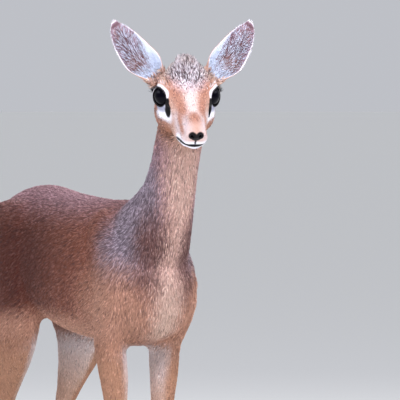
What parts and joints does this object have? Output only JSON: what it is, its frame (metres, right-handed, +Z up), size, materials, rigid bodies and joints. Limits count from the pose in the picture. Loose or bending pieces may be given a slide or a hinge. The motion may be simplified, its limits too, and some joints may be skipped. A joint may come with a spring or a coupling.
{
  "type": "dik dik",
  "caption": "Standing small antelope, life-size and still, alert with its head turned to its right, on slender legs with cloven hooves; for display.",
  "frame": {"origin": "on the ground under the middle of the whole animal's box", "axes": "+Z up out of the ground; the body faces -Y; +X is the animal's left side"},
  "size_m": [0.1292, 0.499, 0.5538],
  "materials": {
    "coat_rufous": "short grizzled rufous-brown fur",
    "coat_grey": "short silver-grey fur flecked dark",
    "coat_pale": "short sandy fur of the legs",
    "ear_skin": "thin ear with pale hairs inside and short fur outside",
    "eye": "wet, glossy dark brown eye",
    "hoof": "dark horn with a dull sheen"
  },
  "bodies": {
    "root": {"crest": "coat_rufous", "ear_left": "ear_skin", "ear_right": "ear_skin", "eye_left": "eye", "eye_right": "eye", "fore_cannon_left": "coat_pale", "fore_cannon_right": "coat_pale", "fore_false_hoof_left_left": "hoof", "fore_false_hoof_left_right": "hoof", "fore_false_hoof_right_left": "hoof", "fore_false_hoof_right_right": "hoof", "fore_foot_left": "coat_pale", "fore_foot_right": "coat_pale", "fore_hoof_left_left_claw": "hoof", "fore_hoof_left_right_claw": "hoof", "fore_hoof_right_left_claw": "hoof", "fore_hoof_right_right_claw": "hoof", "forearm_left": "coat_pale", "forearm_right": "coat_pale", "gaskin_left": "coat_pale", "gaskin_right": "coat_pale", "haunch_left": "coat_rufous", "haunch_right": "coat_rufous", "head": "coat_rufous", "hind_cannon_left": "coat_pale", "hind_cannon_right": "coat_pale", "hind_false_hoof_left_left": "hoof", "hind_false_hoof_left_right": "hoof", "hind_false_hoof_right_left": "hoof", "hind_false_hoof_right_right": "hoof", "hind_foot_left": "coat_pale", "hind_foot_right": "coat_pale", "hind_hoof_left_left_claw": "hoof", "hind_hoof_left_right_claw": "hoof", "hind_hoof_right_left_claw": "hoof", "hind_hoof_right_right_claw": "hoof", "neck": "coat_grey", "shoulder_left": "coat_grey", "shoulder_right": "coat_grey", "tail": "coat_rufous", "torso": "coat_rufous"}
  },
  "joints": []
}
